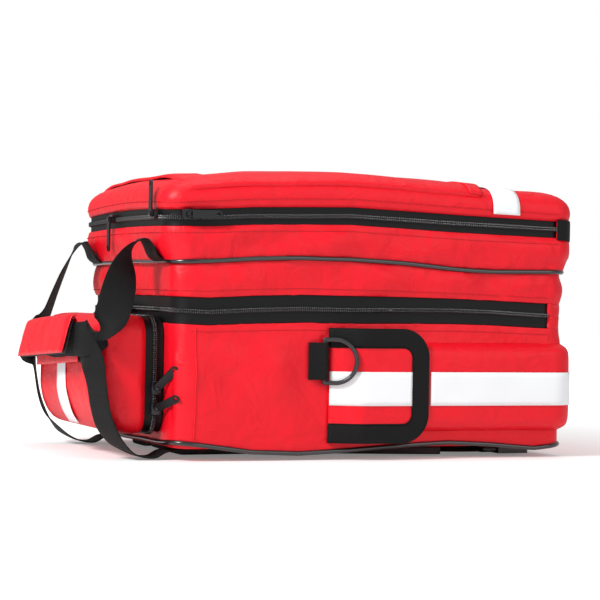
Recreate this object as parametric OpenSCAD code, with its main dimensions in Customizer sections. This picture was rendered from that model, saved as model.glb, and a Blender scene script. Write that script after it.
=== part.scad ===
// Trauma backpack lying on its back: X runs from the pack's top end (-X) to its bottom end (+X),
// Y across the pack, Z from the back (on the ground) to the front. The origin is on the ground
// under the middle of the body.

/* [Body] */
// Height of the pack, along X, at the front compartment
front_l = 500; // [440:5:560]
// Height of the pack, along X, at the main compartment
shell_l = 480; // [420:5:540]
// Width of the pack, along Y
body_w = 330; // [290:5:370]
// Radius of the upright corners
corner_r = 24; // [18:1:30]
// Thickness of a padded wall: cloth, foam and lining
wall_t = 4; // [3:0.5:6]

/* [Levels above the ground] */
// Top of the harness and back pads, where the back panel starts
pad_t = 12; // [8:1:16]
// Lower edge of the main zip's tape
main_zip_lo = 150; // [140:1:156]
// Middle of the main zip, where the main lid parts from the shell
main_zip_z = 165; // [160:1:170]
// Upper edge of the main zip's tape
main_zip_hi = 180; // [175:1:190]
// Middle piping and the floor of the front compartment
piping_z = 218; // [210:1:225]
// Lower edge of the front zip's tape
front_zip_lo = 258; // [252:1:262]
// Middle of the front zip, where the front lid parts from the main lid
front_zip_z = 268; // [264:1:272]
// Upper edge of the front zip's tape
front_zip_hi = 278; // [274:1:284]
// Underside of the front panel
front_z = 312; // [300:1:320]

/* [Pockets] */
// Length of the end pocket across the pack
end_pocket_w = 260; // [230:5:266]
// How far the end pocket stands out from the top end
end_pocket_d = 78; // [60:1:90]
// Top of the end pocket
end_pocket_z = 156; // [130:1:160]
// Bottom of the end pocket at its hinge
end_pocket_z0 = 28; // [24:1:36]
// How far a side pocket stands out from the side
side_pocket_d = 18; // [12:1:22]
// Width of the reflective tape
tape_w = 38; // [30:1:40]

/* [Webbing and rings] */
// Width of the handle webbing
strap_w = 38; // [30:1:40]
// Thickness of the handle webbing
strap_t = 2.5; // [1.5:0.1:3]
// Diameter of the ring's wire
ring_wire = 5; // [4:0.5:6]
// Inside length of the ring's straight bar
ring_bar = 46; // [40:1:50]

/* [Hidden] */
$fn = 64;

red = [0.86, 0.06, 0.10];
black = [0.05, 0.05, 0.06];
silver = [0.92, 0.93, 0.95];
steel = [0.15, 0.15, 0.17];

half_w = body_w / 2;
shell_x = shell_l / 2;
front_x = front_l / 2;
back_t = 5.2;                   // back panel's thickness, foam and cloth
back_z = pad_t + back_t;        // inner face of the back panel
part_gap = 0.3;                 // half the gap where two bodies part at a zip
zip_t = 2;                      // thickness of a zip's tape
zip_in = 1;                     // the tape sits this far inside the wall's face
zip_end_x = shell_x - corner_r; // both long zips end here, short of the bottom end's corners
piping_d = 5;                   // piping's diameter
floor_t = 5.2;                  // middle panel's thickness, foam and cloth
panel_t = 3;                    // front panel's thickness
pocket_t = 4;                   // how far the flat front pocket stands up
pocket_end_x = 127;             // the front pocket's end towards the pack's bottom
tape_t = 0.6;                   // reflective tape's thickness

// side pocket and flap
mouth_x = -25;                  // the side pocket's mouth
pocket_z0 = 30;
pocket_z1 = 132;
pocket_wall = 2;
flap_axis_x = -66;              // the flap and its ring turn about this line
flap_axis_y = half_w + 4.5;
flap_end_x = 55;
flap_z0 = 19;
flap_z1 = 146;
flap_t = 2.5;
flap_face_y = half_w + side_pocket_d + 0.4; // inner face of the flap where it lies on the pocket
stripe_z0 = 60;

// end pocket
flange_d = 10;                  // the fixed half of the end pocket's zip band
band_gap = 0.3;
end_x = -shell_x;
flange_x = end_x - flange_d;
pocket_x = end_x - end_pocket_d;
pocket_half = end_pocket_w / 2;

// handles
anchor_y = 120;                 // a handle's two ends sit at this distance from the middle
front_leg_y = pocket_half + 6;
rear_leg_y = pocket_half + 1.5;
front_bar_x = pocket_x - 12;    // outer face of the front handle's middle
rear_bar_x = pocket_x - 4;
bar_z0 = 112;
fold_x = -266;                  // the rear handle folds about this line, under its foot
fold_z = 14;
wrap_half = 90;

// sliders
slider_l = 14;
slider_w = 10;
slider_t = 5;
pull_l = 38;
pull_w = 9;
pull_t = 2;

// ---------- helpers ----------

// Flat outline with round corners
module rounded(l, w, r) {
    square([l - 2 * r, w], center = true);
    square([l, w - 2 * r], center = true);
    for (sx = [-1, 1], sy = [-1, 1])
        translate([sx * (l / 2 - r), sy * (w / 2 - r)]) circle(r);
}

// Plate with round corners between two levels
module plate(l, w, r, z0, z1) {
    translate([0, 0, z0]) linear_extrude(z1 - z0) rounded(l, w, r);
}

// Upright wall of thickness t that runs all the way round
module wall(l, w, r, t, z0, z1) {
    translate([0, 0, z0]) linear_extrude(z1 - z0) difference() {
        rounded(l, w, r);
        rounded(l - 2 * t, w - 2 * t, r - t);
    }
}

// Box from one corner to the other
module box(a, b) {
    translate(a) cube(b - a);
}

// Keeps what lies between two X values
module between_x(x0, x1) {
    intersection() {
        children();
        box([x0, -300, -10], [x1, 300, 400]);
    }
}

// Round cord laid round the body
module piping(l, w, r, z) {
    for (sy = [-1, 1])
        translate([-(l / 2 - r), sy * w / 2, z]) rotate([0, 90, 0]) cylinder(d = piping_d, h = l - 2 * r);
    for (sx = [-1, 1])
        translate([sx * l / 2, -(w / 2 - r), z]) rotate([-90, 0, 0]) cylinder(d = piping_d, h = w - 2 * r);
    for (sx = [-1, 1], sy = [-1, 1])
        translate([sx * (l / 2 - r), sy * (w / 2 - r), z])
            rotate([0, 0, sx > 0 ? (sy > 0 ? 0 : -90) : (sy > 0 ? 90 : 180)])
                rotate_extrude(angle = 90) translate([r, 0]) circle(d = piping_d, $fn = 24);
}

// Shape repeated on the far side
module far() {
    mirror([0, 1, 0]) children();
}

module both() {
    children();
    far() children();
}

// Strip of thickness t along points in the XZ plane, w wide along Y, centred on y
module strip(pts, t, y, w) {
    n = len(pts);
    function dir(i) = let (a = pts[max(i - 1, 0)], b = pts[min(i + 1, n - 1)], d = b - a) d / norm(d);
    outer = [for (i = [0:n - 1]) pts[i] + t / 2 * [-dir(i)[1], dir(i)[0]]];
    inner = [for (i = [n - 1:-1:0]) pts[i] - t / 2 * [-dir(i)[1], dir(i)[0]]];
    translate([0, y + w / 2, 0]) rotate([90, 0, 0]) linear_extrude(w) polygon(concat(outer, inner));
}

bridge_z = slider_t + 1.6;      // centre of the pull's pin above the slider's foot
pin_d = 2.4;
pin_clear = 0.05;

// Slider body, its travel along X, its outer face towards +Z, its bridge turned with the pull
module slider(turn = 0) {
    linear_extrude(slider_t) intersection() {
        square([slider_l, slider_w], center = true);
        circle(d = slider_l + 1);
    }
    rotate([0, 0, turn]) translate([0, 1.8, bridge_z]) rotate([90, 0, 0]) difference() {
        union() {
            cylinder(d = 5.2, h = 3.6);
            translate([-2.6, -1.6, 0]) cube([5.2, 1.6, 3.6]);
        }
        translate([0, 0, -1]) cylinder(d = pin_d + 2 * pin_clear, h = 6);
    }
}

// Pull on its pin at the origin, lying along +X, turned by turn and lifted by lift
module pull(turn = 0, lift = 0) {
    rotate([0, 0, turn]) rotate([0, -lift, 0]) difference() {
        union() {
            rotate([90, 0, 0]) cylinder(d = pin_d, h = 7, center = true);
            for (s = [-1, 1]) translate([0, s * 2.9 - 0.8, -1.2]) cube([5, 1.6, 2.4]);
            translate([3.4, -pull_w / 2, -0.4]) cube([pull_l - 3.4 - pull_w / 2, pull_w, pull_t]);
            translate([pull_l - pull_w / 2, 0, -0.4]) cylinder(d = pull_w, h = pull_t);
        }
        translate([pull_l - pull_w / 2, 0, -2]) cylinder(d = 5, h = 6);
    }
}

// Places a slider or a pull on a wall: at = foot's centre, turned so that +Z faces out
module on_near(at) {
    translate(at) rotate([90, 0, 0]) children();
}

module on_end(at) {
    translate(at) rotate([0, 0, -90]) rotate([90, 0, 0]) children();
}

// ---------- shell ----------

module back_panel() color(red)
    plate(shell_l - piping_d - 0.4, body_w - piping_d - 0.4, corner_r - 2, pad_t, back_z);

module stiffener_sheet() color("dimgray") plate(shell_l - 30, body_w - 30, 20, back_z, back_z + 2);

module spine_pad() color(black) {
    plate(420, 60, 20, 0, pad_t);
    translate([157, 0, 0]) plate(90, 200, 20, 0, pad_t);
}

module shell_wall() wall(shell_l, body_w, corner_r, wall_t, back_z, main_zip_lo);

module side_panel_near() color(red) intersection() {
    shell_wall();
    box([-(shell_x - corner_r), -300, 0], [shell_x - corner_r, 0, 400]);
}

module side_panel_far() far() side_panel_near();

module top_end_panel() color(red) between_x(-300, -(shell_x - corner_r)) shell_wall();

// The bottom end runs up past the zip's ends as a cloth hinge
module bottom_end_panel() color(red) {
    between_x(shell_x - corner_r, 300) shell_wall();
    between_x(zip_end_x, 300)
        wall(shell_l, body_w, corner_r, wall_t, main_zip_lo, main_zip_z - part_gap);
}

// Zip tape on three sides between two levels
module zip_tape(l, z0, z1) {
    between_x(-300, zip_end_x)
        wall(l - 2 * zip_in, body_w - 2 * zip_in, corner_r - zip_in, zip_t, z0, z1);
}

module main_zip_lower() color(black) zip_tape(shell_l, main_zip_lo, main_zip_z - part_gap);

module back_piping() color(black) piping(shell_l, body_w, corner_r, pad_t + back_t / 2);

// Box pocket, open towards the pack's top end
module side_pocket_near() color(red) difference() {
    box([mouth_x, -half_w - side_pocket_d, pocket_z0], [front_x - 2, -half_w, pocket_z1]);
    box([mouth_x - 1, -half_w - side_pocket_d + pocket_wall, pocket_z0 + pocket_wall],
        [front_x - 2 - pocket_wall, -half_w - pocket_wall, pocket_z1 - pocket_wall]);
    box([shell_x - corner_r, -half_w - pocket_wall - 0.1, pocket_z0 - 1], [300, -half_w + 1, 400]);
}

module side_pocket_far() far() side_pocket_near();

module pocket_stripes() color(silver) both()
    box([flap_end_x + 3, -half_w - side_pocket_d - tape_t, stripe_z0],
        [front_x - 2, -half_w - side_pocket_d, stripe_z0 + tape_w]);

// Webbing loop round the ring's bar, its tails sewn to the side
module ring_tabs() color(black) both()
    translate([flap_axis_x, -flap_axis_y, 88.5]) linear_extrude(ring_bar - 4) difference() {
        union() {
            circle(d = ring_wire + 4);
            translate([-12, 0.5]) square([12, 4]);
        }
        circle(d = ring_wire + 0.16);
    }

// The fixed half of the end pocket's zip band, a frame on the top end
module end_frame(x0, x1, inset) {
    translate([x0, 0, 0]) rotate([90, 0, 90]) linear_extrude(x1 - x0)
        translate([0, (end_pocket_z0 + end_pocket_z) / 2]) difference() {
            rounded(end_pocket_w - 2 * inset, end_pocket_z - end_pocket_z0 - 2 * inset, 24 - inset);
            rounded(end_pocket_w - 2 * inset - 5, end_pocket_z - end_pocket_z0 - 2 * inset - 5, 21.5 - inset);
        }
}

module end_zip_inner() color(black) end_frame(flange_x, end_x, 0);

module padded_dividers() color("dimgray") for (x = [-75, 75])
    box([x - 3, -half_w + wall_t + 3, back_z + 2], [x + 3, half_w - wall_t - 3, main_zip_lo - 10]);

// Rear handle's ends, from under the back panel's edge out over the ground to the fold
rear_end_path = [[end_x + 18, pad_t - 1.3], [end_x + 4, pad_t - 2.6], [end_x - 6, 1.4], [fold_x + 8, 1.8],
    [fold_x + 1, 9]];

module rear_handle_ends() color(black) both() strip(rear_end_path, strap_t, -anchor_y, strap_w);

// Quick-release sockets that hold the lower ends of the shoulder straps
module strap_sockets() color(black) both() box([168, -139, 2], [206, -111, pad_t]);

// ---------- main lid ----------

module mid_gusset() color(red) {
    wall(shell_l, body_w, corner_r, wall_t, main_zip_hi, piping_z - floor_t / 2);
    between_x(zip_end_x, 300)
        wall(shell_l, body_w, corner_r, wall_t, main_zip_z + part_gap, main_zip_hi);
}

module main_zip_upper() color(black) zip_tape(shell_l, main_zip_z + part_gap, main_zip_hi);

module mid_piping() color(black) piping(shell_l + 6.6, body_w, corner_r + 1, piping_z);

module middle_panel() color(black)
    plate(shell_l + 1.2, body_w - piping_d - 0.4, corner_r - 2, piping_z - floor_t / 2, piping_z + floor_t / 2);

module front_gusset_lower() color(red) {
    wall(front_l, body_w, corner_r, wall_t, piping_z + floor_t / 2, front_zip_lo);
    between_x(zip_end_x + 10, 300)
        wall(front_l, body_w, corner_r, wall_t, front_zip_lo, front_zip_z - part_gap);
}

module front_zip_tape(z0, z1) {
    between_x(-300, zip_end_x + 10)
        wall(front_l - 2 * zip_in, body_w - 2 * zip_in, corner_r - zip_in, zip_t, z0, z1);
}

module front_zip_lower() color(black) front_zip_tape(front_zip_lo, front_zip_z - part_gap);

// Webbing tabs over the zip's two ends
module hinge_tabs() color(black) both() box([front_x, -150, 242], [front_x + 1.5, -125, 266]);

// ---------- front lid ----------

module front_zip_upper() color(black) front_zip_tape(front_zip_z + part_gap, front_zip_hi);

module front_gusset_upper() color(red) {
    wall(front_l, body_w, corner_r, wall_t, front_zip_hi, front_z);
    between_x(zip_end_x + 10, 300)
        wall(front_l, body_w, corner_r, wall_t, front_zip_z + part_gap, front_zip_hi);
}

module front_panel() color(red) plate(front_l, body_w, corner_r, front_z, front_z + panel_t);

module front_pocket() color(red)
    between_x(-300, pocket_end_x) plate(front_l - 16, body_w - 16, corner_r, front_z + panel_t,
        front_z + panel_t + pocket_t);

module front_stripe() color(silver)
    box([pocket_end_x + 14, -half_w + 1, front_z + panel_t],
        [pocket_end_x + 14 + tape_w - 4, half_w - 1, front_z + panel_t + tape_t]);

module mesh_pocket() color(black) difference() {
    box([-170, -120, front_z - 8], [40, 120, front_z]);
    box([-172, -118, front_z - 6.8], [38, 118, front_z + 1]);
}

// ---------- side flaps and rings ----------

// Bent cover: a sloping root by the hinge line, then flat over the pocket
flap_root = [flap_axis_x + 6, flap_axis_y - 3.1];
module flap_panel() {
    translate([0, 0, flap_z0]) linear_extrude(flap_z1 - flap_z0) polygon([
        [flap_root[0], -flap_root[1]], [mouth_x, -flap_face_y], [flap_end_x, -flap_face_y],
        [flap_end_x, -flap_face_y - flap_t], [mouth_x - 1, -flap_face_y - flap_t],
        [flap_root[0], -flap_root[1] - flap_t - 0.1]]);
}

module flap_near() color(red) difference() {
    flap_panel();
    // rounded corners at the free end
    for (z = [flap_z0, flap_z1]) translate([flap_end_x - 35, 0, z == flap_z0 ? z + 35 : z - 35])
        rotate([90, 0, 0]) linear_extrude(300) difference() {
            translate([0, z == flap_z0 ? -36 : 0]) square([36, 36]);
            circle(35);
        }
}

module flap_far() far() flap_near();

module flap_stripe_near() color(silver)
    box([mouth_x, -flap_face_y - flap_t - tape_t, stripe_z0],
        [flap_end_x, -flap_face_y - flap_t, stripe_z0 + tape_w]);

module flap_stripe_far() far() flap_stripe_near();

// Bar and bow of round wire, lying on the flap's slope
ring_mid = 88 + (ring_bar - 3) / 2;
ring_tilt = 26;
module ring_near() color(steel) translate([flap_axis_x, -flap_axis_y, ring_mid]) rotate([0, 0, -ring_tilt]) {
    cylinder(d = ring_wire, h = ring_bar + 2, center = true);
    for (s = [-1, 1]) {
        translate([0, 0, s * (ring_bar / 2 + 1)]) sphere(d = ring_wire);
        translate([0, 0, s * (ring_bar / 2 + 1)]) rotate([0, 90, 0]) cylinder(d = ring_wire, h = 12);
    }
    translate([12, 0, 0]) rotate([90, 0, 0]) rotate([0, 0, -90])
        rotate_extrude(angle = 180) translate([ring_bar / 2 + 1, 0]) circle(d = ring_wire);
}

module ring_far() far() ring_near();

// ---------- end pocket ----------

module end_zip_outer() color(black) end_frame(flange_x - band_gap - 12, flange_x - band_gap * 2, 0);

// Side view of the pocket, beyond its zip band
cap_x = flange_x - band_gap - 12;
end_side = [[cap_x, end_pocket_z0], [pocket_x + 12, end_pocket_z0 + 2], [pocket_x, end_pocket_z0 + 22],
    [pocket_x, end_pocket_z - 12], [pocket_x + 12, end_pocket_z], [cap_x, end_pocket_z]];

module end_body(inset) {
    intersection() {
        translate([0, pocket_half - inset, 0]) rotate([90, 0, 0])
            linear_extrude(end_pocket_w - 2 * inset) polygon([for (p = end_side)
                [p[0] == cap_x ? cap_x + inset : p[0] + inset,
                 p[1] > 90 ? p[1] - inset : p[1] + inset]]);
        translate([cap_x, 0, 0]) linear_extrude(300)
            rounded(2 * (cap_x - pocket_x - inset), end_pocket_w - 2 * inset, 22);
    }
}

module end_pocket() color(red) difference() {
    end_body(0);
    end_body(2.5);
}

module end_stripe() color(silver)
    box([pocket_x - tape_t, -tape_w / 2, end_pocket_z0 + 24], [pocket_x, tape_w / 2, end_pocket_z - 14]);

// ---------- handles ----------

// Hump of the front handle's ends, from under the middle piping to the lift line
front_end_path = [[-250.5, 216], [-254, 226], [-258, 236], [-264, 240], [-270, 237], [-274.6, 229.5]];

module front_handle_ends() color(black) both() {
    strip(front_end_path, strap_t, -anchor_y, strap_w);
    box([-251.7, -anchor_y - strap_w / 2, 212.6], [end_x, -anchor_y + strap_w / 2, 215.1]);
    box([-251.7, -anchor_y - strap_w / 2, 212.6], [-249.3, -anchor_y + strap_w / 2, 217]);
}

// Band in an upright plane along points, w wide
module leg(pts, y, w) {
    n = len(pts);
    function dir(i) = let (a = pts[max(i - 1, 0)], b = pts[min(i + 1, n - 1)], d = b - a) d / norm(d);
    left = [for (i = [0:n - 1]) pts[i] + w / 2 * [-dir(i)[1], dir(i)[0]]];
    right = [for (i = [n - 1:-1:0]) pts[i] - w / 2 * [-dir(i)[1], dir(i)[0]]];
    translate([0, y, 0]) rotate([90, 0, 0]) linear_extrude(strap_t) polygon(concat(left, right));
}

module front_handle() color(black) {
    both() {
        leg([[-280, 219], [-288, 162], [-303, 125]], -front_leg_y, 26);
        box([-291, -front_leg_y - strap_t, 218], [-273, -anchor_y + strap_w / 2, 220.5]);
        box([front_bar_x, -front_leg_y - strap_t, bar_z0], [-300, -front_leg_y, bar_z0 + 34]);
    }
    box([front_bar_x, -front_leg_y - strap_t, bar_z0],
        [front_bar_x + strap_t, front_leg_y + strap_t, bar_z0 + 34]);
}

// Lining between the two handles and over the top
module wrap_lining() color(black) {
    box([front_bar_x + strap_t, -wrap_half, bar_z0], [front_bar_x + strap_t + 2.5, wrap_half, bar_z0 + 38]);
    box([front_bar_x - 2, -wrap_half, bar_z0 + 36], [front_bar_x + strap_t + 2.5, wrap_half, bar_z0 + 39]);
}

module wrap_flap() color(red) box([front_bar_x - 6, -wrap_half, bar_z0 - 2],
    [front_bar_x - 2.5, wrap_half, bar_z0 + 38]);

module rear_handle() color(black) {
    both() {
        leg([[fold_x - 7, fold_z + 3], [-284, 50], [-294, 108]], -rear_leg_y, 16);
        box([rear_bar_x, -rear_leg_y - strap_t, bar_z0 - 6], [-290, -rear_leg_y, bar_z0 + 26]);
        box([fold_x - 12, -rear_leg_y - strap_t, fold_z], [fold_x, -anchor_y + strap_w / 2, fold_z + strap_t]);
        box([fold_x - 12, -rear_leg_y - strap_t, fold_z], [fold_x, -rear_leg_y, fold_z + 8]);
    }
    box([rear_bar_x, -rear_leg_y - strap_t, bar_z0 - 6],
        [rear_bar_x + strap_t, rear_leg_y + strap_t, bar_z0 + 26]);
}

// ---------- harness ----------

// Padded strap with its lower webbing and plug, stowed flat under the back panel
module shoulder_strap_near() color(black) {
    translate([0, 0, 0.3]) linear_extrude(pad_t - 0.8) {
        for (p = [[-205, -68, -60, -66], [-60, -66, 70, -100]])
            polygon([[p[0], p[1] - 32], [p[2], p[3] - 32], [p[2], p[3] + 32], [p[0], p[1] + 32]]);
        translate([70, -100]) circle(32);
        translate([-60, -66]) circle(32);
    }
    box([96, -137.5, 4], [166, -112.5, 6]);
    box([150, -135, 3], [167.5, -115, pad_t - 2]);
}

module shoulder_strap_left() shoulder_strap_near();

module shoulder_strap_right() far() shoulder_strap_near();

// ---------- sliders and pulls ----------

foot_gap = 0.4;                 // a slider runs this far outside the wall's face
// Each slider: where its middle is, how its pull is turned on the slider and how far it is lifted
front_near_at = [-228, -half_w - foot_gap, front_zip_z];
front_corner_at = [-front_x - foot_gap, -127, front_zip_z];
front_end_at = [-front_x - foot_gap, 35, front_zip_z];
main_a_at = [end_x - foot_gap, 8, main_zip_z];
main_b_at = [end_x - foot_gap, 32, main_zip_z];
end_upper_at = [flange_x, -pocket_half - foot_gap, 78];
end_lower_at = [flange_x, -pocket_half - foot_gap, 56];
end_upper_turn = 59;
end_upper_lift = 43;
end_lower_turn = 43;
end_lower_lift = 58;

module on_bridge() translate([0, 0, bridge_z]) children();

module front_slider_near() color(steel) on_near(front_near_at) slider();

module front_pull_near() color(black) on_near(front_near_at) on_bridge() pull();

module front_slider_corner() color(steel) on_end(front_corner_at) slider(90);

module front_pull_corner() color(black) on_end(front_corner_at) on_bridge() pull(90);

module front_slider_end() color(steel) on_end(front_end_at) slider(-90);

module front_pull_end() color(black) on_end(front_end_at) on_bridge() pull(-90);

module main_slider_a() color(steel) on_end(main_a_at) slider();

module main_pull_a() color(black) on_end(main_a_at) on_bridge() pull();

module main_slider_b() color(steel) on_end(main_b_at) slider();

module main_pull_b() color(black) on_end(main_b_at) on_bridge() pull(180);

module end_slider_upper() color(steel) on_near(end_upper_at) rotate([0, 0, 90]) slider(end_upper_turn - 90);

module end_pull_upper() color(black) on_near(end_upper_at) on_bridge() pull(end_upper_turn, end_upper_lift);

module end_slider_lower() color(steel) on_near(end_lower_at) rotate([0, 0, 90]) slider(end_lower_turn - 90);

module end_pull_lower() color(black) on_near(end_lower_at) on_bridge() pull(end_lower_turn, end_lower_lift);

back_panel();
stiffener_sheet();
spine_pad();
side_panel_near();
side_panel_far();
top_end_panel();
bottom_end_panel();
main_zip_lower();
back_piping();
side_pocket_near();
side_pocket_far();
pocket_stripes();
ring_tabs();
end_zip_inner();
padded_dividers();
rear_handle_ends();
strap_sockets();
front_handle_ends();
mid_gusset();
main_zip_upper();
mid_piping();
middle_panel();
front_gusset_lower();
front_zip_lower();
front_zip_upper();
front_gusset_upper();
front_panel();
front_pocket();
front_stripe();
mesh_pocket();
hinge_tabs();
flap_near();
flap_far();
flap_stripe_near();
flap_stripe_far();
ring_near();
ring_far();
end_pocket();
end_zip_outer();
end_stripe();
front_handle();
wrap_lining();
wrap_flap();
rear_handle();
shoulder_strap_left();
shoulder_strap_right();
front_slider_near();
front_pull_near();
front_slider_corner();
front_pull_corner();
front_slider_end();
front_pull_end();
main_slider_a();
main_pull_a();
main_slider_b();
main_pull_b();
end_slider_upper();
end_pull_upper();
end_slider_lower();
end_pull_lower();
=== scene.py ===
import math

import bpy
import numpy as np
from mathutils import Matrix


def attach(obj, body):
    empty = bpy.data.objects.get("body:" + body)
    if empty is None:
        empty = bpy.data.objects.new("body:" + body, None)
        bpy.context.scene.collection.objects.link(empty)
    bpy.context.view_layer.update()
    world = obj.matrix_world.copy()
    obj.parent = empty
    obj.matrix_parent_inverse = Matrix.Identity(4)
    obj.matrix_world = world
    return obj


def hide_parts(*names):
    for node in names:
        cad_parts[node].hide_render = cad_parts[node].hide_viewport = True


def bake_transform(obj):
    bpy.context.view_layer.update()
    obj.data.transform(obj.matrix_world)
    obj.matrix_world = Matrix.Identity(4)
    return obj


bl_info = {
    "name": "Trauma backpack",
    "version": (1, 0, 0),
    "blender": (4, 0, 0),
    "location": "View3D > Sidebar > Backpack",
    "description": "Builds the cloth, zips, webbing and tape of a trauma backpack on its frame",
    "category": "Object",
}

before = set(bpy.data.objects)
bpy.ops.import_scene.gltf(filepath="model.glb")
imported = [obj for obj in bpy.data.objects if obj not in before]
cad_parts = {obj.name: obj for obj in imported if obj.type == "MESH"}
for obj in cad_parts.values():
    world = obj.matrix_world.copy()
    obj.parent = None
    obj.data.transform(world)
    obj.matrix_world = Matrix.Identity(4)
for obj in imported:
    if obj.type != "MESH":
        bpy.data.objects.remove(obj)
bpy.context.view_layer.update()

# ---------------------------------------------------------------- properties


def srgb(text):
    """sRGB hex text as three numbers from 0 to 1."""
    return tuple(int(text[i:i + 2], 16) / 255 for i in (1, 3, 5))


class BackpackSizes(bpy.types.PropertyGroup):
    """Sizes that shape the cloth"""
    bulge: bpy.props.FloatProperty(name="Bulge", description="How far a padded side swells",
                                   default=0.004, unit="LENGTH")
    wrinkle: bpy.props.FloatProperty(name="Wrinkle", description="Height of the cloth's soft waves",
                                     default=0.0023, unit="LENGTH")
    coil_pitch: bpy.props.FloatProperty(name="Coil pitch", description="Distance between two zip teeth",
                                        default=0.0024, unit="LENGTH")
    stitch: bpy.props.FloatProperty(name="Stitch", description="Length of one stitch",
                                    default=0.0035, unit="LENGTH")
    strap_width: bpy.props.FloatProperty(name="Strap width", description="Width of the handle webbing",
                                         default=0.038, unit="LENGTH")


class BackpackColours(bpy.types.PropertyGroup):
    """Colours, as sRGB"""
    cloth: bpy.props.FloatVectorProperty(name="Cloth", description="Colour of the outer cloth",
                                         default=srgb("#E80820"), subtype="COLOR_GAMMA", min=0, max=1)
    trim: bpy.props.FloatVectorProperty(name="Trim", description="Colour of webbing, zips and binding",
                                        default=srgb("#040506"), subtype="COLOR_GAMMA", min=0, max=1)
    tape: bpy.props.FloatVectorProperty(name="Tape", description="Colour of the reflective tape",
                                        default=srgb("#F4F8FC"), subtype="COLOR_GAMMA", min=0, max=1)
    floor: bpy.props.FloatVectorProperty(name="Floor", description="Colour of the floor",
                                         default=srgb("#FAFAFA"), subtype="COLOR_GAMMA", min=0, max=1)


def sizes():
    return bpy.context.scene.backpack_sizes


def colours():
    return bpy.context.scene.backpack_colours


# ---------------------------------------------------------------- mesh helpers

GATHER = 0.0006        # height of the small folds that a seam gathers


def spectrum(points, wave, seed):
    """Smooth seeded waves: the sum of plane sine waves in random directions, about one unit high."""
    rng = np.random.default_rng(seed)
    count = 16
    k = rng.normal(size=(count, 3))
    k *= (2 * np.pi / wave * rng.uniform(0.6, 1.7, (count, 1))) / np.linalg.norm(k, axis=1, keepdims=True)
    phase = rng.uniform(0, 2 * np.pi, count)
    return np.sin(points @ k.T + phase).sum(-1) / math.sqrt(count)


def crease(points, wave, seed, depth):
    """Winding valleys where a slow wave crosses zero, broken up by a second wave; never above zero."""
    line = np.exp(-((spectrum(points, wave, seed) / 0.13) ** 2))
    return -depth * line * np.clip(0.4 + spectrum(points, wave * 1.3, seed + 1), 0, 1)


def run_length(line):
    """Distance along a line up to each of its points."""
    return np.cumsum(np.r_[0, np.linalg.norm(np.diff(line, axis=0), axis=1)])


def surface(name, points, uv=None, closed_u=False, closed_v=False, caps=False, cap_last=False, away=None):
    """Mesh through a grid of points, points[i, j]; faces turn outwards, away from `away` if it is open."""
    nu, nv = points.shape[:2]
    index = np.arange(nu * nv).reshape(nu, nv)
    ring = np.concatenate([index, index[:1]]) if closed_u else index
    ring = np.concatenate([ring, ring[:, :1]], 1) if closed_v else ring
    quads = np.stack([ring[:-1, :-1], ring[1:, :-1], ring[1:, 1:], ring[:-1, 1:]], -1).reshape(-1, 4)
    flat = points.reshape(-1, 3)
    corner = flat[quads]
    normal = np.cross(corner[:, 2] - corner[:, 0], corner[:, 3] - corner[:, 1])
    middle = corner.mean(1)
    origin = np.asarray(away) if away is not None else middle.mean(0)
    turned = (normal * (middle - origin)).sum() < 0
    faces = quads[:, ::-1].tolist() if turned else quads.tolist()
    if caps:
        first, last = ring[0, :-1].tolist(), ring[-1, :-1].tolist()
        faces += [first[::-1] if turned else first, last if turned else last[::-1]]
    if cap_last:
        edge = ring[:-1, -1].tolist()
        faces.append(edge[::-1] if turned else edge)
    mesh = bpy.data.meshes.new(name)
    mesh.from_pydata(flat.tolist(), [], faces)
    if uv is not None:
        layer = mesh.uv_layers.new(name="mm")
        loops = np.empty(len(mesh.loops), dtype=np.int32)
        mesh.loops.foreach_get("vertex_index", loops)
        layer.data.foreach_set("uv", uv.reshape(-1, 2)[loops].astype(np.float32).ravel())
    mesh.polygons.foreach_set("use_smooth", np.ones(len(mesh.polygons), dtype=bool))
    mesh.update()
    obj = bpy.data.objects.new(name, mesh)
    bpy.context.collection.objects.link(obj)
    return obj


def give(obj, mats, body=None, nodes=(), thickness=0.0):
    """Materials, slot, replaced nodes, sheet thickness and body of a new piece."""
    for mat in mats if isinstance(mats, (list, tuple)) else [mats]:
        obj.data.materials.append(mat)
    if thickness:
        solid = obj.modifiers.new("thickness", "SOLIDIFY")
        solid.thickness = thickness
        solid.offset = -1
        solid.use_even_offset = False
        if len(obj.data.materials) > 1:
            solid.material_offset = 1
    if nodes:
        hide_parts(*nodes)
    if body:
        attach(obj, body)
    return obj


def outline(length, width, radius, step=0.004, whole=False):
    """Points and outward normals round the body: near side, top end, far side, then the bottom end."""
    a, b = length / 2 - radius, width / 2 - radius
    runs = [((a, -b - radius), (-a, -b - radius), (0, -1)), ((-a, -b), 270, 180),
            ((-a - radius, -b), (-a - radius, b), (-1, 0)), ((-a, b), 180, 90),
            ((-a, b + radius), (a, b + radius), (0, 1))]
    if whole:
        runs += [((a, b), 90, 0), ((a + radius, b), (a + radius, -b), (1, 0)), ((a, -b), 0, -90)]
    pts, nrm = [], []
    for first, second, third in runs:
        if isinstance(second, tuple):
            n = max(2, round(math.dist(first, second) / step))
            t = np.arange(n)[:, None] / n
            pts.append(np.array(first) * (1 - t) + np.array(second) * t)
            nrm.append(np.tile(third, (n, 1)))
        else:
            n = max(6, round(radius * math.pi / 2 / step))
            ang = np.radians(second + (third - second) * np.arange(n) / n)
            arc = np.stack([np.cos(ang), np.sin(ang)], 1)
            pts.append(np.array(first) + radius * arc)
            nrm.append(arc)
    if not whole:
        pts.append(np.array([[a, b + radius]]))
        nrm.append(np.array([[0, 1.0]]))
    return np.concatenate(pts), np.concatenate(nrm).astype(float)


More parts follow.
